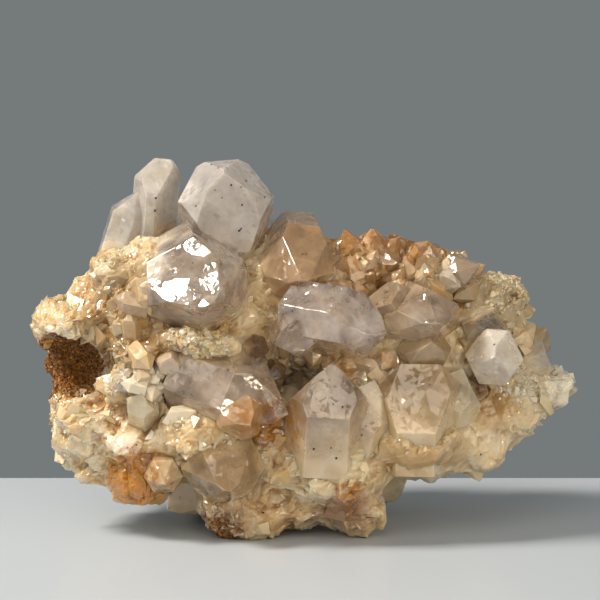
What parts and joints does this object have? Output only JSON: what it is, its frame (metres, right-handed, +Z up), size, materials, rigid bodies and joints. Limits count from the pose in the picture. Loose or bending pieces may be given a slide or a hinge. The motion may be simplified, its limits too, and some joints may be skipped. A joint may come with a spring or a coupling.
{
  "type": "golden healer quartz cluster",
  "caption": "Natural quartz cluster: iron-stained massive base with short clear points on its front and crown, a rusty pit at one end, standing on its own flat foot.",
  "frame": {"origin": "centre of the bounding box at the height of the flat foot that the cluster rests on", "axes": "+X along the cluster's length, towards the thin end away from the rusty pit; +Y away from the showing side; +Z up"},
  "size_m": [0.1106, 0.0596, 0.0735],
  "materials": {
    "iron_stained_quartz": "natural quartz: clear to milky glassy points with vitreous faces, grown on dull granular cream and tan massive quartz with yellow, orange and rust-brown iron stains"
  },
  "bodies": {
    "root": {"quartz_cluster": "iron_stained_quartz"}
  },
  "joints": []
}
